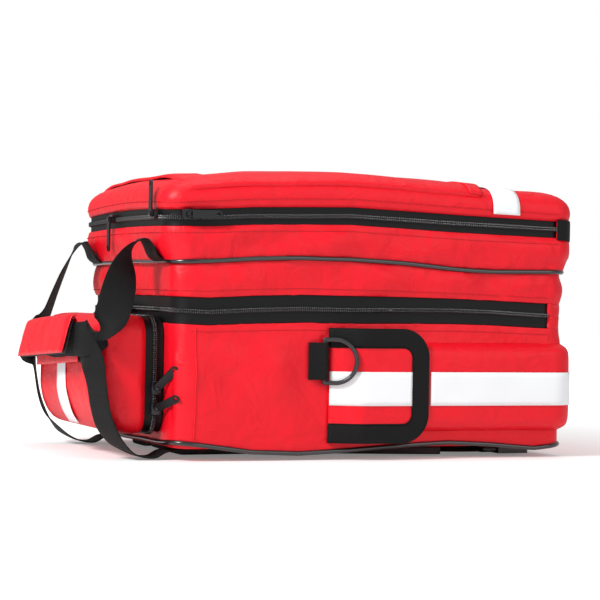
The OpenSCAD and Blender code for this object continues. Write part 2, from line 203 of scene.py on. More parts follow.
SAG_X = np.array([-250, -200, -150, -95, -35, 28, 90, 140, 200, 248]) / 1000
SAG_Z = np.array([0, 14.6, 90, 165, 218, 268, 315]) / 1000
SAG = np.array([
    [0, 0, 0, 0, 0, 0, 0, 0, 0, 0],
    [7, 1, -6, -8, -5, -1, 2, 0, -5, 0],
    [0, 0, 0, 0, 0, 0, 0, 0, 0, 0],
    [-1, -3, 0, 2, 1.5, 2.5, 3, 2, -1, -2],
    [-2, 0, 3, 5, 5, 2, -2, -3.5, -4, -4],
    [-4, -3, 0, 1.5, 3.5, 1.5, -0.5, -1.5, -3, -4],
    [-12, -5, 0, 3, 4, 2, -1, -4, -6, -9]]) / 1000


def sag(points):
    """Raises or lowers points by a table over X and Z, as the filled pack slumps; less in mid-width."""
    x, z = points[..., 0], points[..., 2]
    rows = np.stack([np.interp(x, SAG_X, row) for row in SAG], -1)
    k = np.clip(np.searchsorted(SAG_Z, z) - 1, 0, len(SAG_Z) - 2)
    f = np.clip((z - SAG_Z[k]) / (SAG_Z[k + 1] - SAG_Z[k]), 0, 1)
    low = np.take_along_axis(rows, k[..., None], -1)[..., 0]
    high = np.take_along_axis(rows, k[..., None] + 1, -1)[..., 0]
    side = np.clip(np.abs(points[..., 1]) / 0.165, 0, 1) ** 2
    ends = np.where(x < -0.2, 0.3 + 0.7 * side, 1)
    moved = points.copy()
    moved[..., 2] += (low * (1 - f) + high * f) * ends
    return moved


def hold(x, z):
    """How freely the cloth may swell, 0 to 1: not under the flap's root, nor where the end pocket is
    sewn on."""
    ring = 1 - np.exp(-(((x + 0.064) / 0.034) ** 2)) * (z < 0.15)
    end = np.where((x < -0.236) & (z < 0.165), 0.0, 1.0)
    return ring * end


def relief(points, along, t, height, swell, seed):
    """How far side cloth stands out: a sine bow between its edges, slow waves and creases, small gathers
    that fade away from both edges, and drag folds that lean out of the corners."""
    bow = np.sin(np.pi * np.clip(t, 0, 1)) ** 0.8
    edge = np.exp(-(np.minimum(t, 1 - t) * height / 0.012))
    fold = np.sin(along / 0.0045 + 3 * spectrum(points, 0.09, seed + 1)) * edge * bow ** 0.3
    corner = np.exp(-(((np.abs(points[..., 0]) - 0.225) / 0.04) ** 2))
    drag = np.sin(along / 0.0042 + 55 * points[..., 2] + 2 * spectrum(points, 0.12, seed + 5)) * corner * bow
    wave = spectrum(points * [1, 1, 1.8], 0.11, seed) * sizes().wrinkle
    # shorter waves that lean, because X is sheared by height
    leaning = points * [1, 1, 0.7] + points[..., [2, 2, 0]] * [0.8, 0, 0]
    wave += spectrum(leaning, 0.055, seed + 7) * sizes().wrinkle * 0.4
    wave += crease(points * [0.7, 0.7, 1.5], 0.15, seed + 2, sizes().wrinkle * 1.3) * bow ** 0.5
    free = hold(points[..., 0], points[..., 2])
    return (swell * bow + wave * bow + drag * GATHER) * free + fold * GATHER


def band(name, size, low, high, swell, rows, seed, from_x=None):
    """Side cloth: the outline swept from level low to level high and moved out by its relief. With
    from_x it covers only the bottom end, from that X on."""
    length, width, radius = size
    pts, nrm = outline(length, width, radius, whole=True)
    if from_x is not None:
        keep = pts[:, 0] >= from_x
        pts, nrm, keep = (np.roll(v, -int(np.argmax(~keep)), 0) for v in (pts, nrm, keep))
        pts, nrm = pts[keep], nrm[keep]
    t = 0.5 - 0.5 * np.cos(np.linspace(0, np.pi, rows))
    grid = np.empty((len(pts), rows, 3))
    grid[..., :2] = pts[:, None]
    grid[..., 2] = low + (high - low) * t
    out = relief(grid, run_length(pts)[:, None], t, high - low, swell, seed)
    grid[..., :2] += nrm[:, None] * out[..., None]
    return surface(name, sag(grid), closed_u=from_x is None, away=(0, 0, (low + high) / 2))


def tube(name, line, radius, closed=False, sides=10, bumps=None):
    """Round cord: a circle carried along a line, its radius changed by bumps along the line."""
    step = np.roll(line, -1, 0) - np.roll(line, 1, 0) if closed else np.gradient(line, axis=0)
    tangent = step / np.linalg.norm(step, axis=1, keepdims=True)
    up = np.where(np.abs(tangent[:, 2:3]) > 0.9, [[0, 1.0, 0]], [[0, 0, 1.0]])
    side = np.cross(tangent, up)
    side /= np.linalg.norm(side, axis=1, keepdims=True)
    up = np.cross(side, tangent)
    a = np.linspace(0, 2 * np.pi, sides, endpoint=False)
    r = radius * (np.ones(len(line)) if bumps is None else bumps)
    circle = side[:, None] * np.cos(a)[:, None] + up[:, None] * np.sin(a)[:, None]
    grid = line[:, None] + r[:, None, None] * circle
    along = run_length(line)
    uv = np.stack(np.broadcast_arrays(along[:, None], a * radius), -1)
    obj = surface(name, grid, uv, closed_u=closed, closed_v=True, caps=not closed)
    return turn_out(obj, grid, line)


def turn_out(obj, grid, line):
    """Turns a loft's faces outwards: a face next to the line must look away from it."""
    mesh = obj.data
    centre = np.empty(len(mesh.polygons) * 3)
    normal = np.empty(len(mesh.polygons) * 3)
    mesh.polygons.foreach_get("center", centre)
    mesh.polygons.foreach_get("normal", normal)
    n = min(len(mesh.polygons), grid.shape[1] * (len(line) - 1))
    owner = np.arange(n) // grid.shape[1]
    core = (line[owner] + line[np.minimum(owner + 1, len(line) - 1)]) / 2
    if ((centre.reshape(-1, 3)[:n] - core) * normal.reshape(-1, 3)[:n]).sum() < 0:
        mesh.flip_normals()
    return obj


def smooth_line(knots, count):
    """Catmull-Rom line through knots, count points at even steps of its own length."""
    k = np.asarray(knots, float)
    p = np.concatenate([2 * k[:1] - k[1:2], k, 2 * k[-1:] - k[-2:-1]])
    t = np.linspace(0, 1, 24, endpoint=False)[:, None]
    parts = []
    for i in range(1, len(p) - 2):
        a, b, c, d = p[i - 1], p[i], p[i + 1], p[i + 2]
        parts.append(0.5 * (2 * b + (c - a) * t + (2 * a - 5 * b + 4 * c - d) * t ** 2
                            + (3 * b - a - 3 * c + d) * t ** 3))
    line = np.concatenate(parts + [k[-1:]])
    size = run_length(line[:, :3])
    even = np.linspace(0, size[-1], count)
    return np.stack([np.interp(even, size, line[:, j]) for j in range(line.shape[1])], 1)


def ribbon(name, knots, across, width, thick, count=120, sides=24, puff=0.5):
    """Flat strap: a flattened super-ellipse carried along a smooth line, its broad side turned by across."""
    both = smooth_line(np.concatenate([knots, across], 1), count)
    line, wide = both[:, :3], both[:, 3:]
    step = np.gradient(line, axis=0)
    tangent = step / np.linalg.norm(step, axis=1, keepdims=True)
    wide = wide - (wide * tangent).sum(1, keepdims=True) * tangent
    wide /= np.linalg.norm(wide, axis=1, keepdims=True)
    face = np.cross(tangent, wide)
    a = np.linspace(0, 2 * np.pi, sides, endpoint=False) + np.pi / sides
    c = np.sign(np.cos(a)) * np.abs(np.cos(a)) ** 0.35 * width / 2
    s = np.sign(np.sin(a)) * np.abs(np.sin(a)) ** puff * thick / 2
    grid = line[:, None] + wide[:, None] * c[:, None] + face[:, None] * s[:, None]
    along = run_length(line)
    uv = np.stack(np.broadcast_arrays(along[:, None], c), -1)
    obj = surface(name, grid, uv, closed_v=True, caps=True)
    return turn_out(obj, grid, line)


def dome_wave(points, seed, wave):
    """Waves and creases of a crowned end."""
    return (spectrum(points * [1, 1, 0.2], 0.12, seed) * wave
            + crease(points * [0.8, 1.2, 0.3], 0.17, seed + 3, wave))


def dome(name, size, profile, place, seed, wave=0.001, step=0.004, away=(0, 0, 0.16), warp=None):
    """Crowned closed end: round-cornered rings that shrink by each inset of the profile while they
    climb to its height, closed flat in the middle."""
    length, width, radius = size
    rings = []
    base, _ = outline(length, width, radius, step, whole=True)
    for inset, height in profile:
        r = max(radius - inset * 0.55, 0.006)
        scale = np.array([(length - 2 * inset) / length, (width - 2 * inset) / width])
        ring = base * scale if inset > radius else outline(length - 2 * inset, width - 2 * inset, r, step,
                                                           True)[0]
        if len(ring) != len(base):
            pick = np.linspace(0, len(ring), len(base), endpoint=False)
            loop = np.concatenate([ring, ring[:1]])
            ring = np.stack([np.interp(pick, np.arange(len(loop)), loop[:, j]) for j in (0, 1)], 1)
        rings.append(np.concatenate([ring, np.full((len(ring), 1), height)], 1))
    grid = np.stack(rings, 1)
    inner = np.clip(np.array([p[0] for p in profile]) / 0.03, 0, 1)
    grid[..., 2] += dome_wave(grid, seed, wave) * inner
    grid = place(grid)
    if warp is not None:
        grid = warp(grid)
    return surface(name, grid, closed_u=True, cap_last=True, away=away)


# ---------------------------------------------------------------- materials


def linear(colour):
    """sRGB to linear, with alpha."""
    c = np.asarray(colour[:3], float)
    return (*np.where(c <= 0.04045, c / 12.92, ((c + 0.055) / 1.055) ** 2.4), 1.0)


def add(tree, kind, inputs=None, **settings):
    """Adds a node, sets it up, and links or sets each input."""
    node = tree.nodes.new(kind)
    for key, value in settings.items():
        setattr(node, key, value)
    for key, value in (inputs or {}).items():
        if isinstance(value, bpy.types.NodeSocket):
            tree.links.new(value, node.inputs[key])
        else:
            node.inputs[key].default_value = value
    return node


def material(name, colour, roughness, metallic=0.0, coat=0.0, sheen=0.0, weave=None, uv=False,
             relief=0.0, soft=0.0, uneven=0.05, ior=1.5):
    """Shaded material; weave is the thread spacing in metres, relief its height, soft the height of
    slow dents, and uneven how much the colour and shine wander."""
    if name in bpy.data.materials:
        return bpy.data.materials[name]
    mat = bpy.data.materials.new(name)
    mat.use_nodes = True
    tree = mat.node_tree
    shader = tree.nodes["Principled BSDF"]
    shader.inputs["Metallic"].default_value = metallic
    shader.inputs["IOR"].default_value = ior
    shader.inputs["Coat Weight"].default_value = coat
    shader.inputs["Coat Roughness"].default_value = 0.3
    shader.inputs["Sheen Weight"].default_value = sheen
    shader.inputs["Sheen Roughness"].default_value = 0.4
    where = add(tree, "ShaderNodeTexCoord").outputs["UV" if uv else "Object"]
    # patches of wear and tint 36 mm across
    cloud = add(tree, "ShaderNodeTexNoise", {"Vector": where, "Scale": 1 / 0.036, "Detail": 4.0})
    tint = add(tree, "ShaderNodeMapRange", {"Value": cloud.outputs["Fac"], "To Min": 1 - uneven,
                                            "To Max": 1 + uneven})
    mix = add(tree, "ShaderNodeVectorMath", {0: linear(colour)[:3]}, operation="SCALE")
    tree.links.new(tint.outputs["Result"], mix.inputs["Scale"])
    tree.links.new(mix.outputs["Vector"], shader.inputs["Base Color"])
    rough = add(tree, "ShaderNodeMapRange", {"Value": cloud.outputs["Fac"],
                                             "To Min": roughness * (1 - uneven),
                                             "To Max": roughness * (1 + uneven)})
    tree.links.new(rough.outputs["Result"], shader.inputs["Roughness"])
    bump = None
    if soft:
        # dents a finger wide, 26 mm
        dents = add(tree, "ShaderNodeTexNoise",
                    {"Vector": where, "Scale": 1 / 0.026, "Detail": 2.5, "Distortion": 0.8})
        bump = add(tree, "ShaderNodeBump", {"Height": dents.outputs["Fac"], "Distance": soft,
                                            "Strength": 0.8})
    if weave:
        kind = {"bands_direction": "X", "wave_type": "BANDS"}
        scale = 2 * math.pi / weave / 20
        warp = add(tree, "ShaderNodeTexWave", {"Vector": where, "Scale": scale, "Distortion": 0.4}, **kind)
        kind["bands_direction"] = "Y" if uv else "DIAGONAL"
        weft = add(tree, "ShaderNodeTexWave", {"Vector": where, "Scale": scale, "Distortion": 0.4}, **kind)
        cross = add(tree, "ShaderNodeMath", {0: warp.outputs["Fac"], 1: weft.outputs["Fac"]},
                    operation="MULTIPLY")
        inputs = {"Height": cross.outputs["Value"], "Distance": relief, "Strength": 0.7}
        if bump:
            inputs["Normal"] = bump.outputs["Normal"]
        bump = add(tree, "ShaderNodeBump", inputs)
    if bump:
        tree.links.new(bump.outputs["Normal"], shader.inputs["Normal"])
    return mat


def red_cloth():
    # Coated nylon, woven from 0.35 mm yarn: a slight wet sheen over an even weave, softly dented.
    # The weave is drawn at 0.7 mm, twice its real spacing, so that it shows.
    return material("red_coated_nylon", colours().cloth, 0.46, coat=0.03, weave=0.0007,
                    relief=0.00006, soft=0.0034, uneven=0.06, ior=1.38)


def red_thread():
    # Dull thread, a shade darker than the cloth, so that the seams read as thin lines.
    return material("red_thread", [v * 0.8 for v in colours().cloth], 0.75)


def webbing():
    # Woven polyester: matt, with a rib each 1.6 mm across the strap.
    return material("black_webbing", colours().trim, 0.72, sheen=0.03, weave=0.0016, uv=True,
                    relief=0.00035, ior=1.35)


def zip_tape():
    # Knitted polyester tape, one course each 1.1 mm: dark and matt with a faint satin band.
    return material("black_zip_tape", colours().trim, 0.5, weave=0.0011, relief=0.0001, ior=1.35)


def coil():
    # Nylon monofilament: each tooth catches a small highlight.
    return material("black_nylon_coil", srgb("#2A2A2C"), 0.28, coat=0.3)


def vinyl():
    # Glossy vinyl cord: bright streaks along black.
    return material("black_vinyl_piping", srgb("#121214"), 0.16, coat=0.8, ior=1.52)


def tape():
    # Glass-bead tape: a cool, even white with a satin surface.
    return material("reflective_tape", colours().tape, 0.4, weave=0.0009, relief=0.00002, uneven=0.02)


def lining():
    # Spacer knit: soft and dark, with a visible knit.
    return material("black_lining", srgb("#17171A"), 0.85, sheen=0.3, weave=0.0025, relief=0.0003)


def grey_lining():
    # Brushed loop cloth of the inside.
    return material("grey_loop_cloth", srgb("#4A4C50"), 0.9, sheen=0.3, weave=0.0014, relief=0.0002)


def enamel():
    # Black enamel on die-cast zinc: bright glints on the edges.
    return material("black_enamel", srgb("#3A3A3E"), 0.24, metallic=0.85, coat=0.3)


def acetal():
    # Moulded acetal of rings and buckles.
    return material("black_acetal", srgb("#0E0E10"), 0.22, coat=0.4)


def rubber():
    # Soft moulded pull, slightly shiny.
    return material("black_soft_pull", srgb("#101214"), 0.4)


# ---------------------------------------------------------------- shared shapes

# length, width and corner radius of the body at the main and at the front compartment
SHELL = (0.48, 0.33, 0.024)
FRONT = (0.5, 0.33, 0.024)
HALF_WIDTH = 0.165
# X at which each long zip ends
ZIP_END = 0.216
FRONT_END = 0.226
# outline, low edge, high edge, share of the bulge and seed of each band of side cloth
SIDES = {"shell": (SHELL, 0.0165, 0.15, 1.0, 3), "mid": (SHELL, 0.18, 0.2165, 0.8, 11),
         "front": (FRONT, 0.2195, 0.258, 0.8, 13)}
LINED = 0.003          # cloth with its foam and lining
TAPE_T = 0.0006        # reflective tape on the ends and the front
TAPE_LOW, TAPE_HIGH = 0.0605, 0.0983
FLAP_LOW, FLAP_HIGH = 0.019, 0.146


def sew(obj, body, nodes=(), thickness=LINED):
    """Finishes a piece of red cloth that is lined in grey."""
    return give(obj, [red_cloth(), grey_lining()], body, nodes, thickness)


def side_cloth(name, key, rows):
    """Band of side cloth by its row in SIDES."""
    size, low, high, share, seed = SIDES[key]
    return band(name, size, low, high, sizes().bulge * share, rows, seed)


def side_relief(key, points, along):
    """How far the side cloth of one row in SIDES stands out at points on its outline."""
    _, low, high, share, seed = SIDES[key]
    return relief(points, along, (points[:, 2] - low) / (high - low), high - low, sizes().bulge * share, seed)


def end_cloth(name, size, low, high, seed, end, body):
    """Plain strip between two bands at the bottom end, past a zip's end."""
    return sew(band(name, size, low, high, 0.001, 5, seed, from_x=end - 0.001), body)


def rim_line(size, level, out=0.0, step=0.004, whole=False):
    """Line round the body at one level, moved out by out."""
    pts, nrm = outline(*size, step, whole)
    line = np.concatenate([pts + nrm * out, np.full((len(pts), 1), level)], 1)
    return sag(line)


def make_tape(name, size, low, high, body, nodes):
    """Zip tape: a strip on three sides, dished in by a half-sine towards the teeth."""
    depth, dish = 0.0014, 0.0004
    pts, nrm = outline(*size, 0.005)
    t = np.linspace(0, 1, 7)
    grid = np.empty((len(pts), 7, 3))
    grid[..., 2] = low + (high - low) * t
    out = -depth - dish * np.sin(np.pi * t)
    grid[..., :2] = pts[:, None] + nrm[:, None] * out[:, None]
    obj = surface(name, sag(grid), away=(0, 0, (low + high) / 2))
    return give(obj, zip_tape(), body, nodes, thickness=0.0012)


def make_coil(name, line, body):
    """Half a zip's coil: a thin cord whose radius rises and falls once for each tooth."""
    along = run_length(line)
    bumps = 0.72 + 0.42 * np.sin(2 * np.pi * along / sizes().coil_pitch)
    return give(tube(name, line, 0.0017, sides=8, bumps=bumps), coil(), body)


def stitch_row(name, line, body, mat):
    """Row of stitches: a thread that dips under the cloth once per stitch, by a cosine."""
    along = run_length(line)
    bumps = 0.62 + 0.5 * np.cos(2 * np.pi * along / sizes().stitch)
    return give(tube(name, line, 0.00045, sides=6, bumps=bumps), mat, body)


class PieceOperator:
    """Shared by the operators of the pieces"""
    bl_options = {"REGISTER", "UNDO"}


class BACKPACK_OT_shell(PieceOperator, bpy.types.Operator):
    """Back panel, padded walls and the cloth hinge of the main compartment"""
    bl_idname = "backpack.shell"
    bl_label = "Shell cloth"

    def execute(self, context):
        sew(side_cloth("shell_cloth", "shell", 26), "shell",
            ["side_panel_near", "side_panel_far", "top_end_panel", "bottom_end_panel"])
        end_cloth("shell_end_cloth", SHELL, 0.15, 0.16495, 4, ZIP_END, "shell")
        profile = [(0.0015, -0.0165), (0.004, -0.0135), (0.01, -0.0125), (0.03, -0.0124), (0.06, -0.0123),
                   (0.1, -0.0122), (0.15, -0.0122), (0.1615, -0.0122)]
        back = dome("back_cloth", (0.478, 0.328, 0.023), profile, lambda g: g * [1, 1, -1], 6, wave=0.0002,
                    away=(0, 0, 0.1))
        sew(back, "shell", ["back_panel"])
        return {"FINISHED"}


class BACKPACK_OT_lids(PieceOperator, bpy.types.Operator):
    """Gussets of the main lid and of the front lid, and the crowned front panel"""
    bl_idname = "backpack.lids"
    bl_label = "Lid cloth"

    def execute(self, context):
        sew(side_cloth("mid_gusset_cloth", "mid", 14), "main_lid", ["mid_gusset"])
        end_cloth("mid_end_cloth", SHELL, 0.16505, 0.18, 12, ZIP_END, "main_lid")
        low = side_cloth("front_gusset_lower_cloth", "front", 14)
        pts = np.empty(len(low.data.vertices) * 3)
        low.data.vertices.foreach_get("co", pts)
        pts = pts.reshape(-1, 3)
        # the lower edge runs in to the piping at both ends
        lean = np.clip((0.25 - pts[:, 2]) / 0.03, 0, 1)
        pts[:, 0] -= np.sign(pts[:, 0]) * 0.006 * lean * np.clip((np.abs(pts[:, 0]) - 0.15) / 0.1, 0, 1)
        low.data.vertices.foreach_set("co", pts.ravel())
        sew(low, "main_lid", ["front_gusset_lower"])
        end_cloth("front_end_cloth", FRONT, 0.258, 0.26795, 14, FRONT_END, "main_lid")
        profile = [(0.0, 0.2165), (0.002, 0.2195), (0.01, 0.2205), (0.04, 0.2206), (0.08, 0.2206),
                   (0.12, 0.2206), (0.161, 0.2206)]
        floor = dome("middle_cloth", (0.478, 0.326, 0.022), profile, lambda g: g, 17, wave=0.0003,
                     away=(0, 0, 0.1), warp=sag)
        give(floor, grey_lining(), "main_lid", ["middle_panel"], thickness=LINED)
        # front lid
        end_cloth("front_lid_end_cloth", FRONT, 0.26805, 0.278, 15, FRONT_END, "front_lid")
        profile = [(0.0, 0.278), (-0.0012, 0.282), (-0.0022, 0.287), (-0.0022, 0.292), (-0.001, 0.298),
                   (0.0015, 0.303), (0.005, 0.307), (0.01, 0.3105), (0.016, 0.3128), (0.024, 0.3142),
                   (0.034, 0.3152), (0.046, 0.3158), (0.06, 0.3162), (0.075, 0.3164), (0.09, 0.3166),
                   (0.11, 0.3168), (0.13, 0.3168), (0.148, 0.3168), (0.162, 0.3168)]
        top = dome("front_lid_cloth", FRONT, profile, lambda g: g, 19, wave=0.0012, away=(0, 0, 0.28),
                   warp=sag)
        sew(top, "front_lid", ["front_gusset_upper", "front_panel"])
        return {"FINISHED"}


class BACKPACK_OT_front_pocket(PieceOperator, bpy.types.Operator):
    """Flat pocket on the front, its hem, and the reflective band over the front"""
    bl_idname = "backpack.front_pocket"
    bl_label = "Front pocket and band"

    def front(self, low_x, high_x, lift, wrap, rows=60):
        """Sheet that lies on the front and turns down over both long edges by wrap."""
        arc = np.linspace(0, 1, rows)
        half = HALF_WIDTH
        knots_s = np.array([-half - wrap, -half - 0.002, -half + 0.004, -half + 0.016, -half + 0.045,
                            half - 0.045, half - 0.016, half - 0.004, half + 0.002, half + wrap])
        y = np.array([-0.1672, -0.1668, -0.1605, -0.149, -0.119, 0.119, 0.149, 0.1605, 0.1668, 0.1672])
        z = np.array([0.3 - wrap, 0.2985, 0.3068, 0.3128, 0.3158, 0.3158, 0.3128, 0.3068, 0.2985, 0.3 - wrap])
        s = -half - wrap + arc * 2 * (half + wrap)
        line = np.stack([np.interp(s, knots_s, y), np.interp(s, knots_s, z)], 1)
        for _ in range(2):
            line[1:-1] = (line[:-2] + 2 * line[1:-1] + line[2:]) / 4
        across = np.gradient(line, axis=0)
        across /= np.linalg.norm(across, axis=1, keepdims=True)
        line = line + np.stack([-across[:, 1], across[:, 0]], 1) * lift
        x = np.linspace(low_x, high_x, max(8, round((high_x - low_x) / 0.006)))
        grid = np.empty((len(x), rows, 3))
        grid[..., 0] = x[:, None]
        grid[..., 1:] = line
        return grid

    def execute(self, context):
        grid = self.front(-0.232, 0.127, 0.0034, 0.001, 80)
        x = grid[..., 0]
        close = np.clip((x + 0.236) / 0.02, 0, 1)
        grid[..., 1] *= 0.985 - 0.04 * (1 - close) ** 2
        grid[..., 2] += spectrum(grid * [1, 1, 0.2], 0.1, 31) * 0.0007 - 0.003 * (1 - close) ** 2
        grid = sag(grid)
        pocket = surface("front_pocket_cloth", grid, away=(0, 0, 0.2))
        sew(pocket, "front_lid", ["front_pocket"])
        hem = sag(self.front(0.112, 0.1285, 0.0052, 0.0, 80))
        hem[..., 1] *= 0.986
        give(surface("front_pocket_hem", hem, away=(0, 0, 0.2)), red_cloth(), "front_lid",
             thickness=0.0022)
        stripe = sag(self.front(0.141, 0.175, 0.0022, 0.018, 80))
        obj = surface("front_band", stripe, away=(0, 0, 0.2))
        give(obj, tape(), "front_lid", ["front_stripe"], thickness=TAPE_T)
        return {"FINISHED"}


class BACKPACK_OT_zips(PieceOperator, bpy.types.Operator):
    """Tapes, coils and end tabs of the two long zips"""
    bl_idname = "backpack.zips"
    bl_label = "Long zips"

    def execute(self, context):
        step = sizes().coil_pitch / 5
        rows = [("main_tape_lower", SHELL, 0.1488, 0.1645, "shell", "main_zip_lower", 0.1638),
                ("main_tape_upper", SHELL, 0.1655, 0.1812, "main_lid", "main_zip_upper", 0.1662),
                ("front_tape_lower", FRONT, 0.2568, 0.2676, "main_lid", "front_zip_lower", 0.2668),
                ("front_tape_upper", FRONT, 0.2684, 0.2792, "front_lid", "front_zip_upper", 0.2692)]
        for name, size, low, high, body, node, teeth in rows:
            make_tape(name, size, low, high, body, [node])
            make_coil(name.replace("tape", "coil"), rim_line(size, teeth, -0.0004, step), body)
        for side, sy in (("near", -1), ("far", 1)):
            # folded tab over each end of the front zip
            y = sy * 0.1668
            knots = np.array([[0.2255, y, 0.2635], [0.235, y, 0.2635], [0.2445, sy * 0.16, 0.263],
                              [0.2512, sy * 0.147, 0.262], [0.2522, sy * 0.125, 0.262]])
            obj = ribbon(f"zip_tab_{side}", knots, np.tile([0, 0, 1.0], (5, 1)), 0.024, 0.0016)
            give(obj, webbing(), "main_lid", ["hinge_tabs"] if side == "near" else ())
        return {"FINISHED"}


class BACKPACK_OT_piping(PieceOperator, bpy.types.Operator):
    """Glossy cord in the two seams round the body"""
    bl_idname = "backpack.piping"
    bl_label = "Piping"

    def execute(self, context):
        for name, size, level, body, node in (("mid_piping_cord", (0.4846, 0.331, 0.025), 0.218,
                                               "main_lid", "mid_piping"),
                                              ("back_piping_cord", (0.48, 0.33, 0.024), 0.0152, "shell",
                                               "back_piping")):
            line = rim_line(size, level, 0.0005, 0.005, whole=True)
            line[:, 2] += spectrum(line, 0.16, 41) * 0.0007
            give(tube(name, line, 0.0027, closed=True, sides=14), vinyl(), body, [node])
        return {"FINISHED"}


def pocket_path(out, low_x=-0.025, sy=-1):
    """Line of the side pocket's face: along the side, then round the bottom corner while it flattens."""
    a = np.arange(low_x, ZIP_END, 0.004)
    side = np.stack([a, np.full(len(a), -0.165 - 0.018 - out)], 1)
    ang = np.radians(np.linspace(-90, -2, 14))
    depth = 0.018 * (1 - np.linspace(0, 1, 14) ** 2.2) + out
    arc = np.stack([ZIP_END + (0.024 + depth) * np.cos(ang), -0.141 + (0.024 + depth) * np.sin(ang)], 1)
    line = np.concatenate([side, arc])
    return line * [1, -sy]


POCKET_LOW, POCKET_RISE = 0.0305, 0.1015


def pocket_puff(points, t):
    """How far a side pocket's face swells beyond the flap's end, with slow waves."""
    free = np.clip((points[..., 0] - 0.056) / 0.03, 0, 1)
    return np.sin(np.pi * t) * (1.2 + spectrum(points, 0.09, 51)) * 0.0011 * free


class BACKPACK_OT_side_pockets(PieceOperator, bpy.types.Operator):
    """Open side pockets with their reflective band"""
    bl_idname = "backpack.side_pockets"
    bl_label = "Side pockets"

    def execute(self, context):
        for side, sy in (("near", -1), ("far", 1)):
            line = pocket_path(0.0, sy=sy)
            n = len(line)
            # section: in at the wall, out, up the face and back in at the wall
            t = np.linspace(0, 1, 30)
            depth = 1 - np.clip(np.abs(t * 2 - 1) * 1.02, 0, 1) ** 9
            z = POCKET_LOW + POCKET_RISE * (0.5 - 0.5 * np.cos(np.pi * t)) * 0.35 + POCKET_RISE * 0.65 * t
            wall = np.stack([line[:, 0], np.sign(line[:, 1]) * 0.1655], 1)
            turn = line[:, 0] > ZIP_END
            radial = line - np.array([ZIP_END, sy * 0.141])
            wall[turn] = np.array([ZIP_END, sy * 0.141]) + radial[turn] / np.linalg.norm(
                radial[turn], axis=1, keepdims=True) * 0.0245
            grid = np.empty((n, 30, 3))
            grid[..., :2] = wall[:, None] + (line - wall)[:, None] * depth[:, None]
            grid[..., 2] = z
            grid[..., 1] += sy * pocket_puff(grid, t)
            obj = surface(f"side_pocket_cloth_{side}", grid, away=(0.1, 0, 0.08))
            sew(obj, "shell", [f"side_pocket_{side}"], thickness=0.0018)
            line = pocket_path(0.0012, 0.058, sy=sy)
            z = np.linspace(TAPE_LOW, TAPE_HIGH, 8)
            grid = np.empty((len(line), 8, 3))
            grid[..., :2] = line[:, None]
            grid[..., 2] = z
            grid[..., 1] += sy * pocket_puff(grid, (z - POCKET_LOW) / POCKET_RISE)
            obj = surface(f"side_pocket_band_{side}", grid, away=(0.1, 0, 0.08))
            give(obj, tape(), "shell", ["pocket_stripes"] if side == "near" else (),
                 thickness=0.0005)
        return {"FINISHED"}


FLAP_LINE = np.array([[-0.06, -0.1677], [-0.052, -0.1716], [-0.04, -0.1776], [-0.03, -0.1825],
                      [-0.024, -0.1845], [-0.01, -0.1848], [0.02, -0.1848], [0.055, -0.1848]])


def flap_point(s, z, out, sy):
    """Point on the flap: s runs along X over its bend, z up, out away from the body."""
    x = s
    y = np.interp(s, FLAP_LINE[:, 0], FLAP_LINE[:, 1]) - out
    return np.stack(np.broadcast_arrays(x, y * -sy, z), -1)


def flap_edge(start, end, r, high, straight, arc):
    """Line along a flap's top edge, round its free end and back along the bottom edge."""
    a = np.linspace(np.pi / 2, 0, arc)
    top = np.stack([np.linspace(start, end - r, straight), np.full(straight, high)], 1)[:-1]
    corner = np.stack([end - r + r * np.cos(a), high - r + r * np.sin(a)], 1)
    under = [0, FLAP_LOW + FLAP_HIGH]
    return np.concatenate([top, corner, (corner * [1, -1] + under)[::-1], (top * [1, -1] + under)[::-1]])


